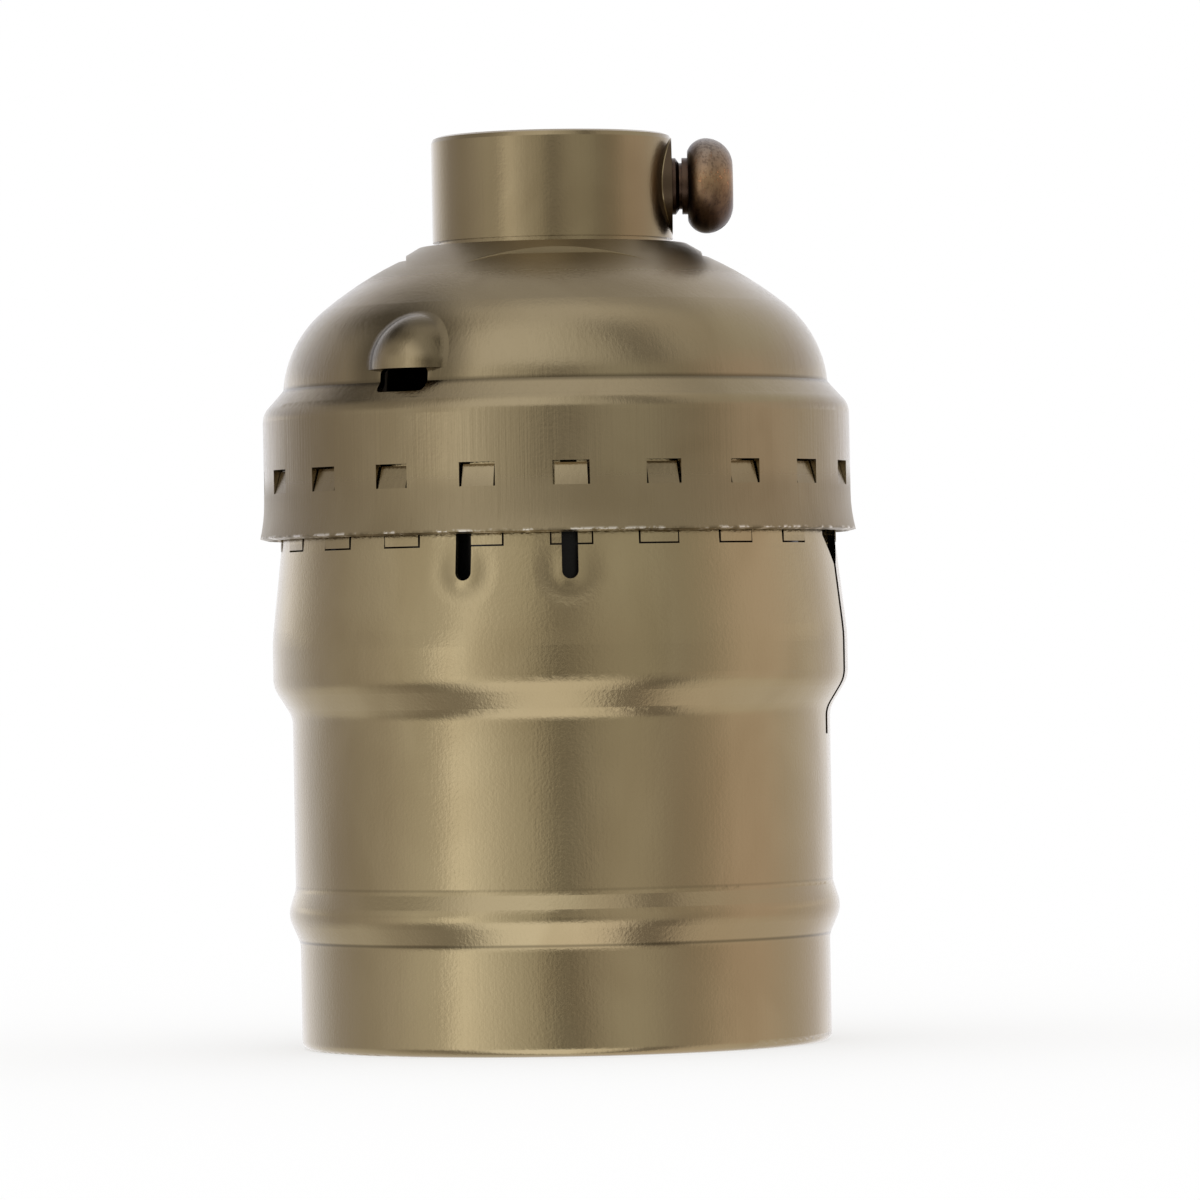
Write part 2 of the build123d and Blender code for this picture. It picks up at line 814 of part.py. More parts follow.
def build_shell_rivets():
    """Two rivets that hold the screw shell's flange to the block."""
    return [rivet(0, side * shell_rivet_y, flange_z, strap_seat_z) for side in (1, -1)]


# Straps, saddles and terminal screws
def strap(rivet_x, side):
    """Angle strap: an upright against the bay's floor and a foot under the rivet's tail."""
    inner = rivet_x - rivet_tail_r - strap_heel
    foot_len = bay_floor_x + strap_t - inner
    foot = Pos(inner + foot_len / 2, 0, strap_seat_z + strap_t / 2) * Box(foot_len, strap_w, strap_t)
    high = strap_top_z - strap_seat_z
    post = Pos(bay_floor_x + strap_t / 2, 0, strap_seat_z + high / 2) * Box(strap_t, strap_w, high)
    body = foot + post
    heel = Vector(bay_floor_x + strap_t, 0, strap_seat_z)
    corner = body.edges().filter_by(Axis.Y).sort_by_distance(heel)[0]
    body = fillet(corner, strap_t * 0.9)
    body -= disc(rivet_r + rivet_clearance, strap_seat_z - past, strap_foot_z + past, x=rivet_x)
    body -= rod(terminal_thread_r + terminal_clearance, bay_floor_x - past, bay_floor_x + 2 * past, terminal_z)
    if side < 0:
        body = Rot(0, 0, 180) * body
    return body


def saddle(side):
    """Square pressure plate under a terminal screw's head."""
    start = bay_floor_x + strap_t
    plate = Pos(start + saddle_t / 2, 0, terminal_z) * Box(saddle_t, 2 * terminal_head_r, 2 * terminal_head_r)
    plate -= rod(terminal_thread_r + terminal_clearance, start - past, start + saddle_t + past, terminal_z)
    if side < 0:
        plate = Rot(0, 0, 180) * plate
    return plate


def terminal_screw(side):
    """Binding screw with a round head, its axis along X."""
    seat = bay_floor_x + strap_t + saddle_t
    tip = bay_floor_x - terminal_len + terminal_tip_gap
    end = seat + terminal_head_t
    outline = joined(
        Polyline(
            (tip, 0),
            (tip, terminal_thread_r - terminal_point),
            (tip + terminal_point, terminal_thread_r),
            (seat, terminal_thread_r),
            (seat, terminal_head_r),
            (seat + terminal_head_t * 0.4, terminal_head_r),
        ),
        ThreePointArc(
            (seat + terminal_head_t * 0.4, terminal_head_r),
            (end - terminal_head_t * 0.14, terminal_head_r * 0.7),
            (end, 0),
        ),
        Line((end, 0), (tip, 0)),
    )
    screw = revolve(make_face(outline), Axis.X, 360)
    slot = Box(2 * past, 3 * terminal_head_r, terminal_slot_w)
    screw -= Pos(end - terminal_slot_depth + past, 0, 0) * slot
    screw = Pos(0, 0, terminal_z) * screw
    if side < 0:
        screw = Rot(0, 0, 180) * screw
    return screw


# Cover disc and its screws
def build_cover_disc():
    """Card disc over the block, open over the bays, the cover screws and the rivets."""
    cover = disc(cover_r, block_top_z, cover_top_z)
    cover = chamfer(cover.edges().sort_by(Axis.Z)[-1], cover_edge)
    bay_len = cover_r + 2 * past - bay_floor_x
    for side in (1, -1):
        cover -= Pos(side * (bay_floor_x + bay_len / 2), 0, block_top_z) * Box(bay_len, bay_w, 4 * cover_t)
        cover -= disc(
            cover_screw_r + terminal_clearance, block_top_z - past, cover_top_z + past, y=side * cover_screw_y
        )
        cover -= disc(cover_wire_r, block_top_z - past, cover_top_z + past, y=side * shell_rivet_y)
    return cover


def cover_screw(y):
    """Small round-head screw that holds the cover disc."""
    low = cover_top_z - cover_screw_len + cover_screw_point
    outline = joined(
        Polyline(
            (0, low),
            (cover_screw_r - cover_screw_point, low),
            (cover_screw_r, low + cover_screw_point),
            (cover_screw_r, cover_top_z),
            (cover_head_r, cover_top_z),
            (cover_head_r, cover_top_z + cover_head_wall),
        ),
        ThreePointArc(
            (cover_head_r, cover_top_z + cover_head_wall),
            (cover_head_r * 0.7, cover_top_z + cover_head_t * 0.8),
            (0, cover_top_z + cover_head_t),
        ),
        Line((0, cover_top_z + cover_head_t), (0, low)),
    )
    screw = turned(make_face(outline))
    screw -= Pos(0, 0, cover_top_z + cover_head_t) * Box(3 * cover_head_r, cover_slot_w, cover_head_t)
    return Pos(0, y, 0) * screw


def build_cover_screws():
    """The cover disc's two screws."""
    return [cover_screw(side * cover_screw_y) for side in (1, -1)]


nodes = {
    "outer_shell": build_outer_shell(),
    "shell_lining": build_shell_lining(),
    "cap": build_cap(),
    "neck_collar": build_neck_collar(),
    "set_screw": build_set_screw(),
    "cap_lining": build_cap_lining(),
    "base_block": build_base_block(),
    "screw_shell": build_screw_shell(),
    "centre_contact": build_centre_contact(),
    "contact_rivet": build_contact_rivet(),
    "neutral_rivet": build_neutral_rivet(),
    "shell_rivets": build_shell_rivets(),
    "hot_strap": strap(contact_root_x, 1),
    "neutral_strap": strap(neutral_rivet_x, -1),
    "hot_saddle": saddle(1),
    "neutral_saddle": saddle(-1),
    "hot_terminal_screw": terminal_screw(1),
    "neutral_terminal_screw": terminal_screw(-1),
    "cover_disc": build_cover_disc(),
    "cover_screws": build_cover_screws(),
}

for name, shape in nodes.items():
    items = shape if isinstance(shape, list) else [shape]
    solids = [solid for item in items for solid in item.solids()]
    export_step(Compound(children=solids), f"parts/{name}.step")
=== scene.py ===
"""Looks of a metal-shell lamp holder: finishes, stage, light and camera round its fixed frame."""

import logging
import math
from dataclasses import dataclass
from enum import Enum

import bmesh
import bpy
from mathutils import Matrix, Vector


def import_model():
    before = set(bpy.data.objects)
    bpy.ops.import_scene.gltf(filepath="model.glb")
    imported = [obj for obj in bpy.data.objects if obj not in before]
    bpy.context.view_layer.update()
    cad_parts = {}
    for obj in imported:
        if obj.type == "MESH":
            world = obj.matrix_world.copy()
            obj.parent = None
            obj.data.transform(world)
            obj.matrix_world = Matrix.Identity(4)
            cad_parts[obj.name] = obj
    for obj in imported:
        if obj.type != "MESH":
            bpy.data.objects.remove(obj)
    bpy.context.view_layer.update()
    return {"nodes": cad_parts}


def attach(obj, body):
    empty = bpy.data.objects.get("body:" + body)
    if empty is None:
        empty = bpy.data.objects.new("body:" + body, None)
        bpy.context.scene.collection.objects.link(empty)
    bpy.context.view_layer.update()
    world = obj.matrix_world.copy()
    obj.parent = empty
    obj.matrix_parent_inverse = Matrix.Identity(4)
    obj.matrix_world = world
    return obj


log = logging.getLogger("lamp_holder")

Colour = tuple[float, float, float]
Stops = tuple[tuple[float, Colour], ...]
Ring = tuple[tuple[float, float, float, float], ...]

MM = 0.001
FULL_TURN_DEG = 360.0
DEG_PER_RAD = 180 / math.pi
WHITE: Colour = (1.0, 1.0, 1.0)

# Numbers of the Mix node's colour sockets, whose names other sockets share.
MIX_FIRST, MIX_SECOND, MIX_RESULT = 6, 7, 2


class Body(Enum):
    """The rigid group of the frame that the added piece rides on."""

    CAP = "cap_body"


@dataclass(frozen=True)
class Noise:
    """A noise pattern, with its grains per metre across and along the object's axis."""

    across: float
    along: float
    detail: float
    roughness: float
    distortion: float = 0.0


@dataclass(frozen=True)
class Band:
    """A smooth step of a value: where it starts, where it is full and its share there."""

    start: float
    full: float
    share: float = 1.0


@dataclass(frozen=True)
class Relief:
    """How deep a pattern is pressed, in metres, and how much of its slope is kept."""

    depth: float
    strength: float = 1.0


class Socket:
    """A socket of a node tree that can be used in plain arithmetic."""

    def __init__(self, tree: "Tree", link: bpy.types.NodeSocket | None) -> None:
        """Keep the tree and the output that carries the value.

        Args:
            tree: The tree that holds the node.
            link: The output socket of that node, or None where the node has no output.
        """
        self.tree = tree
        self.link = link

    def math(
        self,
        operation: str,
        *others: "Socket | float",
        first: "Socket | float | None" = None,
    ) -> "Socket":
        """Feed this value and the others to a Math node.

        Args:
            operation: The Math node's operation.
            others: Further inputs, in order.
            first: A value that goes before this one, for reflected operators.

        Returns:
            The node's value.
        """
        inputs = [self, *others] if first is None else [first, self, *others]
        settings = {"operation": operation}
        return self.tree.add("ShaderNodeMath", settings, dict(enumerate(inputs)))

    def __add__(self, other: "Socket | float") -> "Socket":
        """Sum."""
        return self.math("ADD", other)

    __radd__ = __add__

    def __mul__(self, other: "Socket | float") -> "Socket":
        """Product."""
        return self.math("MULTIPLY", other)

    __rmul__ = __mul__

    def __sub__(self, other: "Socket | float") -> "Socket":
        """Difference."""
        return self.math("SUBTRACT", other)

    def __rsub__(self, other: "Socket | float") -> "Socket":
        """Difference from a number."""
        return self.math("SUBTRACT", first=other)

    def __truediv__(self, other: "Socket | float") -> "Socket":
        """Quotient."""
        return self.math("DIVIDE", other)

    def __pow__(self, other: "Socket | float") -> "Socket":
        """Power."""
        return self.math("POWER", other)

    def __neg__(self) -> "Socket":
        """The value with its sign turned."""
        return self.math("SUBTRACT", first=0.0)

    def ramp(self, start: float, full: float) -> "Socket":
        """Smooth step from 0 to 1.

        Args:
            start: Value at which the result is 0.
            full: Value at which the result is 1, which may be the smaller one.

        Returns:
            The stepped value.
        """
        settings = {"interpolation_type": "SMOOTHSTEP"}
        inputs = {"Value": self, "From Min": start, "From Max": full}
        return self.tree.add("ShaderNodeMapRange", settings, inputs)

    def band(self, band: Band) -> "Socket":
        """Smooth step from 0 to the band's share."""
        return self.ramp(band.start, band.full) * band.share

    def near(self, middle: float, half: float) -> "Socket":
        """Bell-shaped mask round a value.

        Args:
            middle: Value with the result 1.
            half: Distance from it at which the result is 0.

        Returns:
            The mask.
        """
        return 1.0 - (self - middle).math("ABSOLUTE").ramp(0.0, half)


class Tree:
    """A node tree with one method for every kind of node."""

    def __init__(self, tree: bpy.types.NodeTree) -> None:
        """Empty the tree.

        Args:
            tree: The tree of a material or a world.
        """
        self.tree = tree
        tree.nodes.clear()

    def add(
        self,
        kind: str,
        settings: dict[str, object] | None = None,
        inputs: dict[str | int, object] | None = None,
        output: str | int = 0,
    ) -> Socket:
        """Add a node, set it up and link its inputs.

        Args:
            kind: The node's type.
            settings: Properties of the node, which are set first. A colour ramp's are its stops.
            inputs: Values, or sockets to link, by input name or number.
            output: The output to return, by name or number.

        Returns:
            That output.
        """
        node = self.tree.nodes.new(kind)
        for name, value in (settings or {}).items():
            if name == "stops":
                set_stops(node.color_ramp, value)
            else:
                setattr(node, name, value)
        for name, value in (inputs or {}).items():
            if isinstance(value, Socket):
                self.tree.links.new(value.link, node.inputs[name])
            else:
                node.inputs[name].default_value = value
        return Socket(self, node.outputs[output] if node.outputs else None)

    def coordinates(self) -> Socket:
        """Place on the piece, in metres."""
        return self.add("ShaderNodeTexCoord", output="Object")

    def split(self, vector: Socket) -> tuple[Socket, Socket, Socket]:
        """Three parts of a vector.

        Args:
            vector: The vector to split.

        Returns:
            Its x, y and z.
        """
        x, y, z = self.add("ShaderNodeSeparateXYZ", inputs={0: vector}).link.node.outputs
        return Socket(self, x), Socket(self, y), Socket(self, z)

    def noise(self, place: Socket, noise: Noise) -> Socket:
        """Noise, about 0.5 on average.

        Args:
            place: Place on the piece.
            noise: The pattern.

        Returns:
            The noise value.
        """
        scale = (noise.across, noise.across, noise.along)
        placed = self.add("ShaderNodeMapping", inputs={"Vector": place, "Scale": scale})
        inputs = {
            "Vector": placed,
            "Scale": 1.0,
            "Detail": noise.detail,
            "Roughness": noise.roughness,
            "Distortion": noise.distortion,
        }
        return self.add("ShaderNodeTexNoise", inputs=inputs, output="Fac")

    def gradient(self, value: Socket, stops: Stops) -> Socket:
        """Colour that follows a list of stops.

        Args:
            value: Between 0 and 1.
            stops: Each stop's value and its colour.

        Returns:
            The colour.
        """
        return self.add("ShaderNodeValToRGB", {"stops": stops}, {0: value})

    def mix(self, mask: Socket | float, low: Socket | Colour, high: Socket | Colour) -> Socket:
        """Blend two colours.

        Args:
            mask: 0 for the first colour and 1 for the second.
            low: First colour.
            high: Second colour.

        Returns:
            The blended colour.
        """
        inputs = {0: mask, MIX_FIRST: rgba(low), MIX_SECOND: rgba(high)}
        return self.add("ShaderNodeMix", {"data_type": "RGBA"}, inputs, output=MIX_RESULT)

    def bump(self, height: Socket, relief: Relief, normal: Socket | None = None) -> Socket:
        """Turn a height between 0 and 1 into a surface slope.

        Args:
            height: The height.
            relief: Its real depth, and how much of the slope is kept.
            normal: A slope to start from.

        Returns:
            The sloped normal.
        """
        inputs = {"Height": height, "Distance": relief.depth, "Strength": relief.strength}
        if normal is not None:
            inputs["Normal"] = normal
        return self.add("ShaderNodeBump", inputs=inputs)


def turn_share(azimuth_deg: Socket | float) -> Socket | float:
    """Share of a full turn from the far side, on to the viewer's side at a half and back."""
    return (azimuth_deg + FULL_TURN_DEG / 2) / FULL_TURN_DEG


def set_stops(ramp: bpy.types.ColorRamp, stops: Stops) -> None:
    """Set the stops of a colour ramp.

    Args:
        ramp: The ramp, with the two stops of a new node.
        stops: Each stop's value and its colour.
    """
    for index, (at, colour) in enumerate(stops):
        stop = ramp.elements[index] if index < len(ramp.elements) else ramp.elements.new(at)
        stop.position = at
        stop.color = rgba(colour)


def rgba(colour: Socket | Colour) -> Socket | tuple[float, float, float, float]:
    """Give a plain colour its alpha.

    Args:
        colour: A socket, or a red, green and blue value.

    Returns:
        The socket unchanged, or four values.
    """
    return colour if isinstance(colour, Socket) else (*colour, 1.0)


def plain(red: int, green: int, blue: int) -> Colour:
    """Linear colour of a screen colour.

    Args:
        red: 0 to 255.
        green: 0 to 255.
        blue: 0 to 255.

    Returns:
        The three linear values.
    """

    def straight(value: int) -> float:
        """Linear value of one channel, by the screen's standard curve."""
        share = value / 255
        return share / 12.92 if share <= 0.04045 else ((share + 0.055) / 1.055) ** 2.4

    return straight(red), straight(green), straight(blue)


def new_material(name: str) -> tuple[bpy.types.Material, Tree]:
    """Make a material with an empty tree.

    Args:
        name: The material's name.

    Returns:
        The material and its tree.
    """
    material = bpy.data.materials.new(name)
    material.use_nodes = True
    return material, Tree(material.node_tree)


def new_piece(
    name: str, shape: bmesh.types.BMesh, material: bpy.types.Material
) -> bpy.types.Object:
    """Put a shape in the scene, and free it.

    Args:
        name: The piece's name.
        shape: Its shape.
        material: Its material.

    Returns:
        The piece.
    """
    mesh = bpy.data.meshes.new(name)
    shape.to_mesh(mesh)
    shape.free()
    piece = bpy.data.objects.new(name, mesh)
    bpy.context.collection.objects.link(piece)
    mesh.materials.append(material)
    log.info("%s made with %d faces", name, len(mesh.polygons))
    return piece


@dataclass(frozen=True)
class Finish:
    """A named finish that makes its own material."""

    name: str

    def surface(self, tree: Tree, place: Socket) -> dict[str, object]:
        """Inputs of the surface shader.

        Args:
            tree: Tree of the material.
            place: Place on the piece.

        Returns:
            Values and sockets by the shader's input names.
        """
        raise NotImplementedError

    def make(self) -> bpy.types.Material:
        """Build the material.

        Returns:
            The finished material.
        """
        material, tree = new_material(self.name)
        inputs = self.surface(tree, tree.coordinates())
        shader = tree.add("ShaderNodeBsdfPrincipled", inputs=inputs)
        tree.add("ShaderNodeOutputMaterial", inputs={"Surface": shader})
        return material


@dataclass
class Sheet:
    """Look of a sheet of metal, which its details change one by one."""

    tree: Tree
    place: Socket
    x: Socket
    y: Socket
    z: Socket
    colour: Socket
    rough: Socket
    slope: Socket
    shade: Colour

    def tint(self, mask: Socket, colour: Colour) -> None:
        """Blend a colour over the metal's where the mask is."""
        self.colour = self.tree.mix(mask, self.colour, colour)

    def turned(self, azimuth_deg: float) -> tuple[Socket, Socket]:
        """Place seen from a direction round the axis.

        Args:
            azimuth_deg: The direction, from the viewer's side towards +X.

        Returns:
            Distance sideways from that direction, and distance out along it.
        """
        turn = math.radians(azimuth_deg)
        across = self.x * math.cos(turn) + self.y * math.sin(turn)
        return across, self.x * math.sin(turn) - self.y * math.cos(turn)


@dataclass(frozen=True)
class Detail:
    """Something that changes the look of a sheet in one place."""

    def add_to(self, sheet: Sheet) -> None:
        """Change the sheet's look.

        Args:
            sheet: The sheet.
        """
        raise NotImplementedError


@dataclass(frozen=True)
class DullFoot(Detail):
    """Duller metal below a height, darkened slightly with painted shade."""

    top_z: float
    fade: float = 1.6 * MM
    dullness: float = 0.2
    share: float = 0.12

    def add_to(self, sheet: Sheet) -> None:
        """Roughen the metal below the height, and darken it with painted shade.

        Args:
            sheet: The sheet.
        """
        mask = sheet.z.ramp(self.top_z, self.top_z - self.fade)
        sheet.rough = sheet.rough + mask * self.dullness
        # painted shade: the metal below the height darkened a little
        sheet.tint(mask * self.share, sheet.shade)


@dataclass(frozen=True)
class DullCrown(Detail):
    """Duller metal above a height."""

    foot_z: float
    fade: float = 1.0 * MM
    dullness: float = 0.14

    def add_to(self, sheet: Sheet) -> None:
        """Roughen the metal above the height."""
        mask = sheet.z.ramp(self.foot_z, self.foot_z + self.fade)
        sheet.rough = sheet.rough + mask * self.dullness


@dataclass(frozen=True)
class Groove(Detail):
    """Dark line painted round the object as shade in a crease."""

    middle_z: float
    half: float
    share: float

    def add_to(self, sheet: Sheet) -> None:
        """Paint shade on the metal round the line's height."""
        # painted shade along the crease
        sheet.tint(sheet.z.near(self.middle_z, self.half) * self.share, sheet.shade)


@dataclass(frozen=True)
class BareEdge(Detail):
    """Cut edge with the lacquer flecked off."""

    middle_z: float
    half: float = 0.2 * MM
    raw: Colour = plain(218, 212, 202)
    flecks: Noise = Noise(1100.0, 1100.0, 3.0, 0.7)
    dark: Band = Band(0.5, 0.38, 0.6)
    bright: Band = Band(0.5, 0.6, 0.95)

    def add_to(self, sheet: Sheet) -> None:
        """Fleck the edge with dark and with raw metal.

        Args:
            sheet: The sheet.
        """
        fleck = sheet.tree.noise(sheet.place, self.flecks)
        edge = sheet.z.near(self.middle_z, self.half)
        sheet.tint(edge * fleck.band(self.dark), sheet.shade)
        sheet.tint(edge * fleck.band(self.bright), self.raw)


@dataclass(frozen=True)
class LouvreBendShade(Detail):
    """Painted shade and dark reflection in the bend where the round louvre over the stop window
    leaves the dome.
    """

    azimuth_deg: float = -32.6
    middle_z: float = 39.855 * MM
    inside: Band = Band(1.2 * MM, 2.1 * MM)
    outside: Band = Band(4.9 * MM, 2.7 * MM)
    above: Band = Band(38.7 * MM, 39.2 * MM)
    near_side: Band = Band(0.0, 1.0 * MM)
    share: float = 0.8

    def add_to(self, sheet: Sheet) -> None:
        """Paint shade in a ring round the louvre's middle, above its foot.

        Args:
            sheet: The cap.
        """
        across, outward = sheet.turned(self.azimuth_deg)
        gap = (across * across + (sheet.z - self.middle_z) ** 2).math("SQRT")
        ring = gap.band(self.inside) * gap.band(self.outside)
        seen = outward.band(self.near_side) * sheet.z.band(self.above)
        # painted shade round the louvre
        sheet.tint(ring * seen * self.share, sheet.shade)


@dataclass(frozen=True)
class ScrewPadReflection(Detail):
    """Flat pad that stands out of the neck, with the set screw head's dark reflection painted on
    it.
    """

    middle_z: float = 50.9 * MM
    reach: Band = Band(3.2 * MM, 3.0 * MM)
    proud: Band = Band(7.16 * MM, 7.22 * MM)
    screw_side: Band = Band(0.0, 1.0 * MM)
    # colour of the painted reflection of the screw head
    tone: Colour = plain(70, 57, 46)
    share: float = 0.92
    dullness: float = 0.2

    def add_to(self, sheet: Sheet) -> None:
        """Paint the screw head's dark reflection on what stands out of the neck round the screw,
        and roughen it.

        Args:
            sheet: The neck.
        """
        gap = (sheet.y * sheet.y + (sheet.z - self.middle_z) ** 2).math("SQRT")
        radius = (sheet.x * sheet.x + sheet.y * sheet.y).math("SQRT")
        mask = gap.band(self.reach) * radius.band(self.proud) * sheet.x.band(self.screw_side)
        # painted reflection of the screw head
        sheet.tint(mask * self.share, self.tone)
        sheet.rough = sheet.rough + mask * self.dullness


@dataclass(frozen=True)
class PressSlots(Detail):
    """Dish pressed round the lower end of each press slot, with a raised lip inside it."""

    azimuths_deg: tuple[float, ...] = (-19.0, 2.6, 161.0, 182.6)
    end_z: float = 27.97 * MM
    below: Band = Band(29.67 * MM, 27.87 * MM)
    upper_share: float = 0.25
    lip: Band = Band(0.45 * MM, 1.1 * MM, 0.3)
    dish_r: float = 1.25 * MM
    dish_half: float = 1.0 * MM
    dish_share: float = 0.35
    # where and how strongly shade is painted in the dish
    shade_r: float = 1.1 * MM
    shade_half: float = 0.75 * MM
    shade_share: float = 0.28
    relief: Relief = Relief(0.1 * MM)

    def gap(self, sheet: Sheet) -> Socket:
        """Distance from the nearest slot's middle line.

        Args:
            sheet: The shell.

        Returns:
            The distance in metres.
        """
        under = (self.end_z - sheet.z).math("MAXIMUM", 0.0)
        nearest = None
        for azimuth_deg in self.azimuths_deg:
            across, outward = sheet.turned(azimuth_deg)
            far_side = outward.math("LESS_THAN", 0.0)
            gap = (across * across + under * under).math("SQRT") + far_side
            nearest = gap if nearest is None else nearest.math("MINIMUM", gap)
        return nearest

    def add_to(self, sheet: Sheet) -> None:
        """Paint shade in the dish, and slope it and its lip.

        Args:
            sheet: The shell.
        """
        gap = self.gap(sheet)
        below = sheet.z.band(self.below)
        # painted shade in the dish below each slot
        sheet.tint(gap.near(self.shade_r, self.shade_half) * below * self.shade_share, sheet.shade)
        lip = self.lip.share - gap.band(self.lip)
        dish = gap.near(self.dish_r, self.dish_half) * self.dish_share
        share = below * (1.0 - self.upper_share) + self.upper_share
        sheet.slope = sheet.tree.bump((lip - dish) * share, self.relief, sheet.slope)


@dataclass(frozen=True)
class BrushedBronze(Finish):
    """Sheet metal with a lacquered antique tone, brushed along the axis."""

    tone: Colour
    deep: Colour
    warm: Colour
    brush: Noise = Noise(9000.0, 108.0, 4.0, 0.7)
    brush_relief: Relief = Relief(0.005 * MM, 0.8)
    brush_band: Band = Band(0.5, 0.8, 0.28)
    cloud: Noise = Noise(110.0, 70.0, 3.0, 0.6, 0.4)
    cloud_band: Band = Band(0.38, 0.68, 0.75)
    patch: Noise = Noise(45.0, 28.0, 2.0, 0.5)
    patch_band: Band = Band(0.52, 0.74, 0.5)
    grain: Noise = Noise(5200.0, 5200.0, 2.0, 0.6)
    grain_relief: Relief = Relief(0.03 * MM, 0.35)
    roughness: float = 0.11
    cloud_dullness: float = 0.06
    brush_dullness: float = 0.08
    shade_share: float = 0.42
    details: tuple[Detail, ...] = ()

    def surface(self, tree: Tree, place: Socket) -> dict[str, object]:
        """Brushed lines, cloudy tone and fine grain, with the details over them.

        Args:
            tree: Tree of the material.
            place: Place on the piece.

        Returns:
            Values and sockets by the shader's input names.
        """
        lines = tree.noise(place, self.brush)
        cloud = tree.noise(place, self.cloud)
        patch = tree.noise(place, self.patch)
        grain = tree.noise(place, self.grain)
        colour = tree.mix(cloud.band(self.cloud_band), self.tone, self.deep)
        colour = tree.mix(patch.band(self.patch_band), colour, self.warm)
        colour = tree.mix(lines.band(self.brush_band), colour, self.deep)
        rough = self.roughness + cloud * self.cloud_dullness + lines * self.brush_dullness
        slope = tree.bump(lines, self.brush_relief)
        slope = tree.bump(grain, self.grain_relief, slope)
        # darker colour for the painted shade of the details, and for the bare edge's dark flecks
        shade = tuple(part * self.shade_share for part in self.deep)
        sheet = Sheet(tree, place, *tree.split(place), colour, rough, slope, shade)
        for detail in self.details:
            detail.add_to(sheet)
        return {
            "Base Color": sheet.colour,
            "Metallic": 1.0,
            "Roughness": sheet.rough,
            "Normal": sheet.slope,
        }


@dataclass(frozen=True)
class DarkScrew(Finish):
    """Rubbed dark bronze, with light painted on its upper side and shade on its lower side, and
    coppery where fingers rub it.
    """

    foot_z: float = 48.07 * MM
    height: float = 5.66 * MM
    thread: Band = Band(8.65 * MM, 8.15 * MM, 0.85)
    dark: Colour = plain(60, 47, 42)
    rubbed: Colour = plain(206, 150, 108)
    # painted light and shade: dark low on the head, pale on its upper side
    stops: Stops = (
        (0.0, plain(60, 46, 40)),
        (0.26, plain(92, 72, 58)),
        (0.55, plain(148, 121, 92)),
        (0.78, plain(136, 116, 98)),
        (1.0, plain(148, 140, 132)),
    )
    blotch: Noise = Noise(620.0, 620.0, 4.0, 0.62, 0.5)
    blotch_sway: float = 0.24
    grain: Noise = Noise(5200.0, 3000.0, 3.0, 0.65)
    grain_band: Band = Band(0.46, 0.64, 0.5)
    grain_relief: Relief = Relief(0.015 * MM, 0.5)
    rub_grain: Band = Band(0.56, 0.66)
    rub_blotch: Band = Band(0.56, 0.46)
    rub_rise: float = 0.62
    rub_half: float = 0.3
    rub_share: float = 0.75
    roughness: float = 0.28
    blotch_dullness: float = 0.18

    def surface(self, tree: Tree, place: Socket) -> dict[str, object]:
        """Painted light and shade by height, a darker thread, and fine coppery rubs on the head.

        Args:
            tree: Tree of the material.
            place: Place on the screw.

        Returns:
            Values and sockets by the shader's input names.
        """
        x, _, z = tree.split(place)
        rise = (z - self.foot_z) / self.height
        blotch = tree.noise(place, self.blotch)
        grain = tree.noise(place, self.grain)
        swayed = rise + blotch * self.blotch_sway - self.blotch_sway / 2
        # painted light and shade by height
        colour = tree.gradient(swayed, self.stops)
        colour = tree.mix(grain.band(self.grain_band), colour, self.dark)
        rub = grain.band(self.rub_grain) * rise.near(self.rub_rise, self.rub_half)
        rub = rub * blotch.band(self.rub_blotch) * self.rub_share
        colour = tree.mix(rub, colour, self.rubbed)
        colour = tree.mix(x.band(self.thread), colour, self.dark)
        return {
            "Base Color": colour,
            "Metallic": 1.0,
            "Roughness": self.roughness + blotch * self.blotch_dullness,
            "Normal": tree.bump(grain, self.grain_relief),
        }


@dataclass(frozen=True)
class BareMetal(Finish):
    """Stamped or turned metal with slight tarnish and fine tool marks."""

    tone: Colour
    dull: Colour
    cloud: Noise = Noise(260.0, 260.0, 4.0, 0.6, 0.3)
    cloud_band: Band = Band(0.4, 0.7)
    grain: Noise = Noise(6000.0, 900.0, 2.0, 0.6)
    grain_relief: Relief = Relief(0.008 * MM, 0.5)
    roughness: float = 0.28
    cloud_dullness: float = 0.15

    def surface(self, tree: Tree, place: Socket) -> dict[str, object]:
        """Slight tarnish and fine grain.

        Args:
            tree: Tree of the material.
            place: Place on the piece.

        Returns:
            Values and sockets by the shader's input names.
        """
        cloud = tree.noise(place, self.cloud)
        return {
            "Base Color": tree.mix(cloud.band(self.cloud_band), self.tone, self.dull),
            "Metallic": 1.0,
            "Roughness": self.roughness + cloud * self.cloud_dullness,
            "Normal": tree.bump(tree.noise(place, self.grain), self.grain_relief),
        }


@dataclass(frozen=True)
class Moulding(Finish):
    """Glossy black thermoset."""

    tone: Colour = plain(16, 14, 13)
    haze: Colour = plain(36, 33, 30)
    flow: Noise = Noise(160.0, 90.0, 4.0, 0.55, 1.2)
    flow_band: Band = Band(0.45, 0.75, 0.6)
    grain: Noise = Noise(1800.0, 1800.0, 2.0, 0.5)
    grain_relief: Relief = Relief(0.012 * MM, 0.4)
    roughness: float = 0.16
    flow_dullness: float = 0.14
    specular: float = 0.22

    def surface(self, tree: Tree, place: Socket) -> dict[str, object]:
        """Near black with faint flow marks.

        Args:
            tree: Tree of the material.
            place: Place on the piece.

        Returns:
            Values and sockets by the shader's input names.
        """
        flow = tree.noise(place, self.flow)
        return {
            "Base Color": tree.mix(flow.band(self.flow_band), self.tone, self.haze),
            "Roughness": self.roughness + flow * self.flow_dullness,
            "Normal": tree.bump(tree.noise(place, self.grain), self.grain_relief),
            "Specular IOR Level": self.specular,
        }


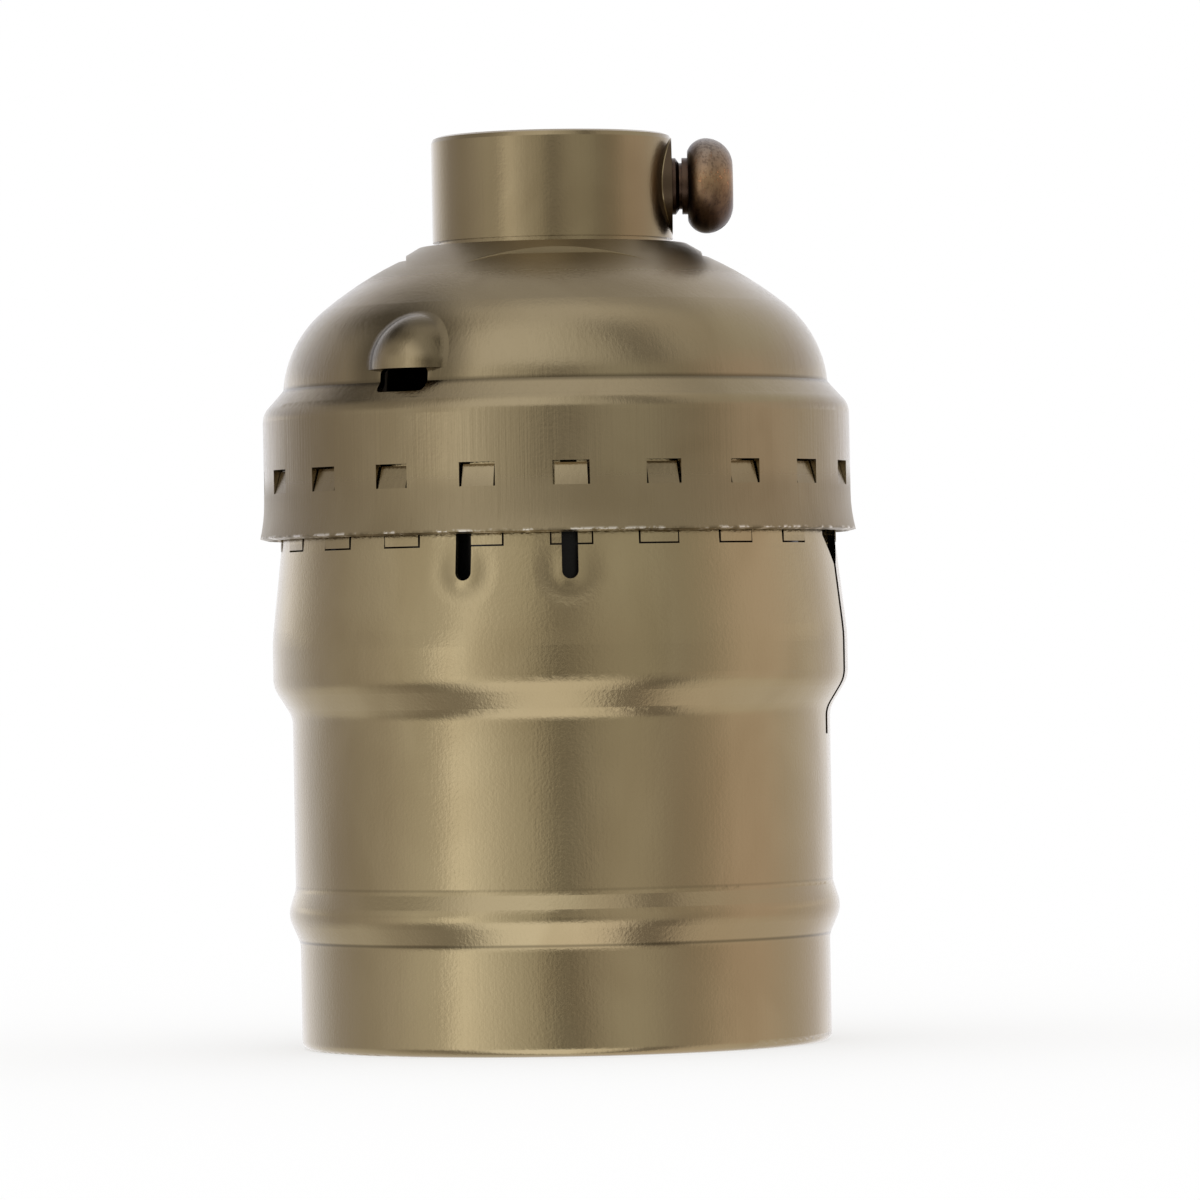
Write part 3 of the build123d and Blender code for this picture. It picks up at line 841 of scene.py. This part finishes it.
@dataclass(frozen=True)
class Fibre(Finish):
    """Waxed card of the linings and the cover disc."""

    tone: Colour
    pale: Colour
    fibre: Noise = Noise(1500.0, 500.0, 5.0, 0.7, 0.8)
    fibre_band: Band = Band(0.5, 0.8)
    fibre_relief: Relief = Relief(0.04 * MM, 0.5)
    roughness: float = 0.5
    fibre_dullness: float = 0.25
    specular: float = 0.2

    def surface(self, tree: Tree, place: Socket) -> dict[str, object]:
        """Short fibres in a dull card.

        Args:
            tree: Tree of the material.
            place: Place on the piece.

        Returns:
            Values and sockets by the shader's input names.
        """
        fibre = tree.noise(place, self.fibre)
        return {
            "Base Color": tree.mix(fibre.band(self.fibre_band), self.tone, self.pale),
            "Roughness": self.roughness + fibre * self.fibre_dullness,
            "Normal": tree.bump(fibre, self.fibre_relief),
            "Specular IOR Level": self.specular,
        }


@dataclass(frozen=True)
class Finishes:
    """Finishes of the lamp holder, and which of its pieces wear each."""

    shell: BrushedBronze = BrushedBronze(
        "bronze_shell",
        tone=(0.36, 0.292, 0.175),
        deep=(0.30, 0.236, 0.135),
        warm=(0.375, 0.28, 0.172),
        details=(
            Groove(6.4 * MM, 0.15 * MM, 0.75),
            Groove(9.62 * MM, 0.14 * MM, 0.3),
            PressSlots(),
        ),
    )
    cap: BrushedBronze = BrushedBronze(
        "bronze_cap",
        tone=(0.285, 0.23, 0.142),
        deep=(0.235, 0.184, 0.108),
        warm=(0.295, 0.22, 0.138),
        brush=Noise(5500.0, 66.0, 4.0, 0.7),
        brush_relief=Relief(0.018 * MM, 0.8),
        grain_relief=Relief(0.016 * MM, 0.35),
        details=(
            DullFoot(34.2 * MM),
            DullCrown(44.9 * MM),
            Groove(39.1 * MM, 0.26 * MM, 0.75),
            BareEdge(30.3 * MM),
            LouvreBendShade(),
        ),
    )
    neck: BrushedBronze = BrushedBronze(
        "bronze_neck",
        tone=(0.275, 0.22, 0.132),
        deep=(0.225, 0.174, 0.10),
        warm=(0.29, 0.215, 0.13),
        grain_relief=Relief(0.018 * MM, 0.35),
        details=(ScrewPadReflection(),),
    )
    screw: DarkScrew = DarkScrew("dark_screw")
    brass: BareMetal = BareMetal("contact_brass", plain(214, 178, 110), plain(150, 118, 70))
    nickel: BareMetal = BareMetal("nickel", plain(206, 203, 196), plain(182, 178, 171))
    moulding: Moulding = Moulding("moulding")
    card: Fibre = Fibre("fibre", plain(30, 28, 27), plain(58, 54, 50))
    varnished: Fibre = Fibre("varnished_fibre", plain(13, 12, 11), plain(28, 26, 24))
    aged: Fibre = Fibre("aged_fibre", plain(78, 68, 58), plain(108, 97, 84))

    def wears(self) -> dict[Finish, tuple[str, ...]]:
        """List the pieces of the frame by their finish.

        Returns:
            The names of the pieces that wear each finish.
        """
        hot = ("centre_contact", "contact_rivet", "hot_strap", "hot_saddle", "hot_terminal_screw")
        neutral = ("neutral_rivet", "neutral_strap", "neutral_saddle", "neutral_terminal_screw")
        return {
            self.shell: ("outer_shell",),
            self.cap: ("cap",),
            self.neck: ("neck_collar",),
            self.screw: ("set_screw",),
            self.brass: hot,
            self.nickel: ("screw_shell", "shell_rivets", *neutral, "cover_screws"),
            self.moulding: ("base_block",),
            self.card: ("cover_disc",),
            self.varnished: ("shell_lining",),
            self.aged: ("cap_lining",),
        }

    def dress(self, nodes: dict[str, bpy.types.Object]) -> bpy.types.Material:
        """Give every piece of the frame its material.

        Args:
            nodes: The frame's pieces by name.

        Returns:
            The neck's material, which its thread takes too.
        """
        made = {}
        for finish, names in self.wears().items():
            made[finish] = finish.make()
            for name in names:
                for slot in nodes[name].material_slots:
                    slot.material = made[finish]
                log.info("%s wears %s", name, finish.name)
        return made[self.neck]


@dataclass(frozen=True)
class FineThread:
    """Helical ridge in the bore of the neck, broken where the set screw passes through."""

    bore_r: float = 4.45 * MM
    depth: float = 0.3 * MM
    sunk: float = 0.03 * MM
    pitch: float = 0.94 * MM
    half_width: float = 0.4 * MM
    low_z: float = 46.8 * MM
    high_z: float = 53.05 * MM
    taper_turns: float = 0.35
    tip_share: float = 0.12
    hole_z: float = 50.9 * MM
    hole_r: float = 2.2 * MM
    steps_per_turn: int = 90
    shortest_run: int = 3

    def runs(self) -> list[list[tuple[float, float]]]:
        """Split the helix where the screw's hole cuts it.

        Returns:
            Runs of turns and heights.
        """
        runs: list[list[tuple[float, float]]] = [[]]
        steps = int((self.high_z - self.low_z) / self.pitch * self.steps_per_turn)
        for step in range(steps + 1):
            turns = step / self.steps_per_turn
            height = self.low_z + turns * self.pitch
            angle = math.tau * turns
            off = math.hypot(self.bore_r * math.sin(angle), height - self.hole_z)
            if math.cos(angle) > 0 and off < self.hole_r:
                runs.append([])
            else:
                runs[-1].append((turns, height))
        return [run for run in runs if len(run) >= self.shortest_run]

    def corners(
        self, shape: bmesh.types.BMesh, turns: float, height: float, size: float
    ) -> list[bmesh.types.BMVert]:
        """Add the ridge's section at one place of the helix.

        Args:
            shape: The ridge's shape.
            turns: Turns from the helix's start.
            height: Height of the section's middle.
            size: 1 for the full section and less near its ends.

        Returns:
            The section's three corners.
        """
        angle = math.tau * turns
        half = self.half_width * size
        outer = self.bore_r + self.sunk
        inner = self.bore_r - self.depth * size
        section = ((outer, height - half), (outer, height + half), (inner, height))
        return [
            shape.verts.new((radius * math.cos(angle), radius * math.sin(angle), z))
            for radius, z in section
        ]

    def add_run(self, shape: bmesh.types.BMesh, run: list[tuple[float, float]]) -> None:
        """Add one unbroken length of the ridge, which tapers at both ends.

        Args:
            shape: The ridge's shape.
            run: Its turns and heights.
        """
        rings = []
        for turns, height in run:
            from_end = min(turns - run[0][0], run[-1][0] - turns)
            size = min(1.0, self.tip_share + from_end / self.taper_turns)
            rings.append(self.corners(shape, turns, height, size))
        for first, second in zip(rings, rings[1:]):
            for side in range(len(first)):
                after = (side + 1) % len(first)
                shape.faces.new((first[side], first[after], second[after], second[side]))
        shape.faces.new(rings[0])
        shape.faces.new(rings[-1])

    def build(self, material: bpy.types.Material) -> bpy.types.Object:
        """Make the ridge.

        Args:
            material: The neck's metal.

        Returns:
            The finished piece.
        """
        shape = bmesh.new()
        for run in self.runs():
            self.add_run(shape, run)
        bmesh.ops.recalc_face_normals(shape, faces=shape.faces)
        thread = new_piece("neck_thread", shape, material)
        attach(thread, Body.CAP.value)
        return thread


@dataclass(frozen=True)
class Surroundings:
    """A white room whose walls differ in tone round the object, as polished metal shows them.

    Each ring lists azimuths in degrees, from the viewer's side towards +X, with a colour, which
    is over 1 where a wall is lit. The bands say at which heights, in degrees, a ring takes over
    from those before it.
    """

    level: Ring = (
        (-180, 1.25, 1.25, 1.30), (-150, 1.20, 1.22, 1.32), (-136, 0.92, 0.95, 1.10),
        (-116, 0.60, 0.58, 0.62), (-96, 0.60, 0.57, 0.54), (-80, 0.76, 0.73, 0.71),
        (-64, 0.93, 0.91, 0.86), (-54, 0.92, 0.90, 0.84), (-50, 1.40, 1.38, 1.33),
        (-44, 1.68, 1.67, 1.62), (-39, 1.30, 1.29, 1.25), (-31, 1.14, 1.13, 1.08),
        (-24, 0.92, 0.90, 0.84), (-12, 0.76, 0.74, 0.67), (-6, 0.48, 0.46, 0.41),
        (0, 0.26, 0.25, 0.22), (6, 0.42, 0.40, 0.36), (14, 0.60, 0.58, 0.53),
        (24, 0.69, 0.68, 0.62), (36, 0.68, 0.67, 0.61), (46, 0.54, 0.52, 0.48),
        (54, 0.54, 0.50, 0.45), (63, 0.62, 0.57, 0.51), (77, 0.88, 0.78, 0.72),
        (94, 0.94, 0.83, 0.78), (113, 0.86, 0.82, 0.80), (136, 0.96, 0.94, 1.00),
        (150, 1.20, 1.20, 1.28), (180, 1.25, 1.25, 1.30),
    )
    low: Ring = (
        (-180, 1.30, 1.30, 1.34), (-142, 1.40, 1.42, 1.52), (-116, 0.62, 0.60, 0.62),
        (-96, 0.58, 0.55, 0.52), (-80, 0.68, 0.65, 0.63), (-64, 0.85, 0.83, 0.78),
        (-54, 0.74, 0.72, 0.67), (-49, 0.88, 0.86, 0.82), (-43, 1.46, 1.45, 1.40),
        (-38, 1.36, 1.35, 1.31), (-31, 1.12, 1.11, 1.06), (-24, 0.87, 0.85, 0.79),
        (-12, 0.82, 0.80, 0.72), (-5, 0.70, 0.68, 0.62), (3, 0.60, 0.58, 0.53),
        (12, 0.68, 0.66, 0.60), (24, 0.73, 0.71, 0.65), (36, 0.69, 0.68, 0.62),
        (48, 0.58, 0.56, 0.51), (63, 0.63, 0.58, 0.52), (77, 0.90, 0.80, 0.74),
        (94, 0.95, 0.84, 0.79), (113, 1.05, 0.99, 0.96), (136, 1.10, 1.08, 1.12),
        (180, 1.30, 1.30, 1.34),
    )
    raised: Ring = (
        (-180, 1.15, 1.15, 1.20), (-150, 1.05, 1.08, 1.18), (-136, 0.88, 0.91, 1.08),
        (-116, 0.60, 0.58, 0.62), (-96, 0.62, 0.59, 0.56), (-80, 0.78, 0.76, 0.74),
        (-64, 0.94, 0.92, 0.87), (-53, 0.90, 0.88, 0.82), (-44, 0.96, 0.94, 0.89),
        (-40, 1.35, 1.34, 1.30), (-34, 1.38, 1.37, 1.33), (-29, 0.98, 0.96, 0.91),
        (-12, 0.80, 0.78, 0.70), (-6, 0.54, 0.52, 0.46), (0, 0.34, 0.32, 0.29),
        (6, 0.46, 0.44, 0.40), (14, 0.64, 0.62, 0.56), (24, 0.72, 0.71, 0.65),
        (36, 0.71, 0.70, 0.64), (46, 0.58, 0.56, 0.51), (54, 0.58, 0.55, 0.49),
        (63, 0.64, 0.59, 0.53), (77, 0.90, 0.80, 0.75), (94, 0.95, 0.84, 0.80),
        (113, 0.86, 0.82, 0.81), (136, 0.93, 0.91, 0.99), (150, 1.05, 1.06, 1.14),
        (180, 1.15, 1.15, 1.20),
    )
    above: Ring = (
        (-180, 1.05, 1.05, 1.12), (-134, 0.72, 0.71, 0.76), (-112, 0.56, 0.54, 0.53),
        (-84, 0.50, 0.48, 0.45), (-64, 0.66, 0.64, 0.60), (-44, 1.24, 1.23, 1.22),
        (-8, 1.28, 1.28, 1.27), (6, 1.06, 1.06, 1.03), (16, 0.96, 0.95, 0.91),
        (28, 0.84, 0.83, 0.79), (38, 0.40, 0.39, 0.36), (47, 0.40, 0.38, 0.36),
        (56, 0.74, 0.72, 0.68), (78, 0.84, 0.81, 0.77), (110, 0.90, 0.89, 0.86),
        (150, 1.00, 1.00, 1.06), (180, 1.05, 1.05, 1.12),
    )
    below: Ring = (
        (-180, 1.00, 1.00, 1.04), (-100, 0.80, 0.78, 0.76), (-72, 0.50, 0.47, 0.44),
        (-55, 0.38, 0.36, 0.33), (-46, 0.90, 0.89, 0.87), (-36, 1.45, 1.45, 1.44),
        (-8, 1.50, 1.49, 1.48), (14, 1.40, 1.39, 1.36), (27, 1.20, 1.19, 1.15),
        (35, 0.38, 0.36, 0.33), (50, 0.28, 0.26, 0.24), (58, 0.75, 0.71, 0.66),
        (78, 0.95, 0.89, 0.83), (180, 1.00, 1.00, 1.04),
    )
    low_band: Band = Band(2.1, 3.0)
    raised_band: Band = Band(4.0, 11.0)
    above_band: Band = Band(15.0, 32.0)
    below_band: Band = Band(10.0, 28.0)
    ceiling: Colour = (1.08, 1.07, 1.06)
    ceiling_band: Band = Band(55.0, 80.0)
    back: Colour = (0.70, 0.69, 0.69)
    back_band: Band = Band(45.0, 65.0)
    back_side: Band = Band(0.0, 0.25)
    dim: Colour = (0.12, 0.11, 0.09)
    dim_azimuth: float = -130.0
    dim_half: float = 42.0
    dim_height: float = 45.0
    dim_rise: float = 20.0

    def ring(self, tree: Tree, share: Socket, ring: Ring) -> Socket:
        """Colour of one ring.

        Args:
            tree: The world's tree.
            share: Share of the full turn.
            ring: The ring's azimuths and colours.

        Returns:
            The colour at that turn.
        """
        stops = tuple((turn_share(azimuth), tuple(colour)) for azimuth, *colour in ring)
        return tree.gradient(share, stops)

    def walls(self, tree: Tree) -> Socket:
        """Colour of the room in every direction.

        Args:
            tree: The world's tree.

        Returns:
            The colour.
        """
        x, y, z = tree.split(tree.add("ShaderNodeTexCoord", output="Generated"))
        share = turn_share(x.math("ARCTAN2", -y) * DEG_PER_RAD)
        height = z.math("ARCSINE") * DEG_PER_RAD
        room = self.ring(tree, share, self.level)
        for mask, ring in (
            (height.band(self.low_band), self.low),
            (height.band(self.raised_band), self.raised),
            (height.band(self.above_band), self.above),
            ((-height).band(self.below_band), self.below),
        ):
            room = tree.mix(mask, room, self.ring(tree, share, ring))
        room = tree.mix(height.band(self.ceiling_band), room, self.ceiling)
        room = tree.mix(y.band(self.back_side) * height.band(self.back_band), room, self.back)
        corner = share.near(turn_share(self.dim_azimuth), self.dim_half / FULL_TURN_DEG)
        return tree.mix(corner * height.near(self.dim_height, self.dim_rise), room, self.dim)

    def build(self) -> None:
        """Make the room, which only polished surfaces see as anything but plain white."""
        world = bpy.data.worlds.new("room")
        bpy.context.scene.world = world
        world.use_nodes = True
        world.cycles.sampling_method = "NONE"
        tree = Tree(world.node_tree)
        glossy = tree.add("ShaderNodeLightPath", output="Is Glossy Ray")
        seen = tree.mix(glossy, WHITE, self.walls(tree))
        glow = tree.add("ShaderNodeBackground", inputs={"Color": seen, "Strength": 1.0})
        tree.add("ShaderNodeOutputWorld", inputs={"Surface": glow})


@dataclass(frozen=True)
class Studio:
    """Floor, light and camera.

    The picture's width, the column of the object's axis and the row level with the eye are in
    pixels, and so is the scale at the axis.
    """

    picture_px: float = 1200.0
    axis_px: float = 559.3
    eye_row: float = 653.0
    px_per_m: float = 16800.0
    eye_height: float = 23.2 * MM
    distance: float = 462 * MM
    lean_deg: float = 1.05
    sensor_mm: float = 36.0
    floor_size: float = 3.0
    floor_glow: float = 0.6

    def floor(self) -> None:
        """Make the white floor, which a soft shadow of the object darkens."""
        material, tree = new_material("floor")
        matt = tree.add("ShaderNodeBsdfDiffuse", inputs={"Color": rgba(WHITE)})
        glow = tree.add("ShaderNodeEmission", inputs={"Color": rgba(WHITE), "Strength": 1.0})
        seen = tree.add("ShaderNodeLightPath", output="Is Camera Ray")
        inputs = {0: seen * self.floor_glow, 1: matt, 2: glow}
        both = tree.add("ShaderNodeMixShader", inputs=inputs)
        tree.add("ShaderNodeOutputMaterial", inputs={"Surface": both})
        shape = bmesh.new()
        bmesh.ops.create_grid(shape, x_segments=1, y_segments=1, size=self.floor_size)
        floor = new_piece("floor", shape, material)
        floor.visible_glossy = False

    def camera(self) -> None:
        """Set the camera at the picture's viewing angle."""
        lens = bpy.data.cameras.new("camera")
        lens.sensor_width = self.sensor_mm
        lens.lens = self.sensor_mm * self.px_per_m * self.distance / self.picture_px
        middle = self.picture_px / 2
        right = (middle - self.axis_px) / self.px_per_m
        tilt = math.atan((self.eye_row - middle) / self.px_per_m / self.distance)
        pitch = Matrix.Rotation(math.pi / 2 + tilt, 4, "X")
        lean = Matrix.Rotation(-math.radians(self.lean_deg), 4, "Z")
        place = Matrix.Translation((right, -self.distance, self.eye_height))
        eye = bpy.data.objects.new("camera", lens)
        eye.matrix_world = place @ pitch @ lean
        bpy.context.collection.objects.link(eye)
        bpy.context.scene.camera = eye

    def build(self) -> None:
        """Make the stage."""
        self.floor()
        Surroundings().build()
        self.camera()
        bpy.context.scene.view_settings.view_transform = "Standard"
        log.info("stage set")


def main() -> None:
    """Dress the frame and set the stage."""
    logging.basicConfig(level=logging.INFO, format="%(message)s")
    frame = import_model()
    neck_metal = Finishes().dress(frame["nodes"])
    FineThread().build(neck_metal)
    Studio().build()


if __name__ == "__main__":
    main()
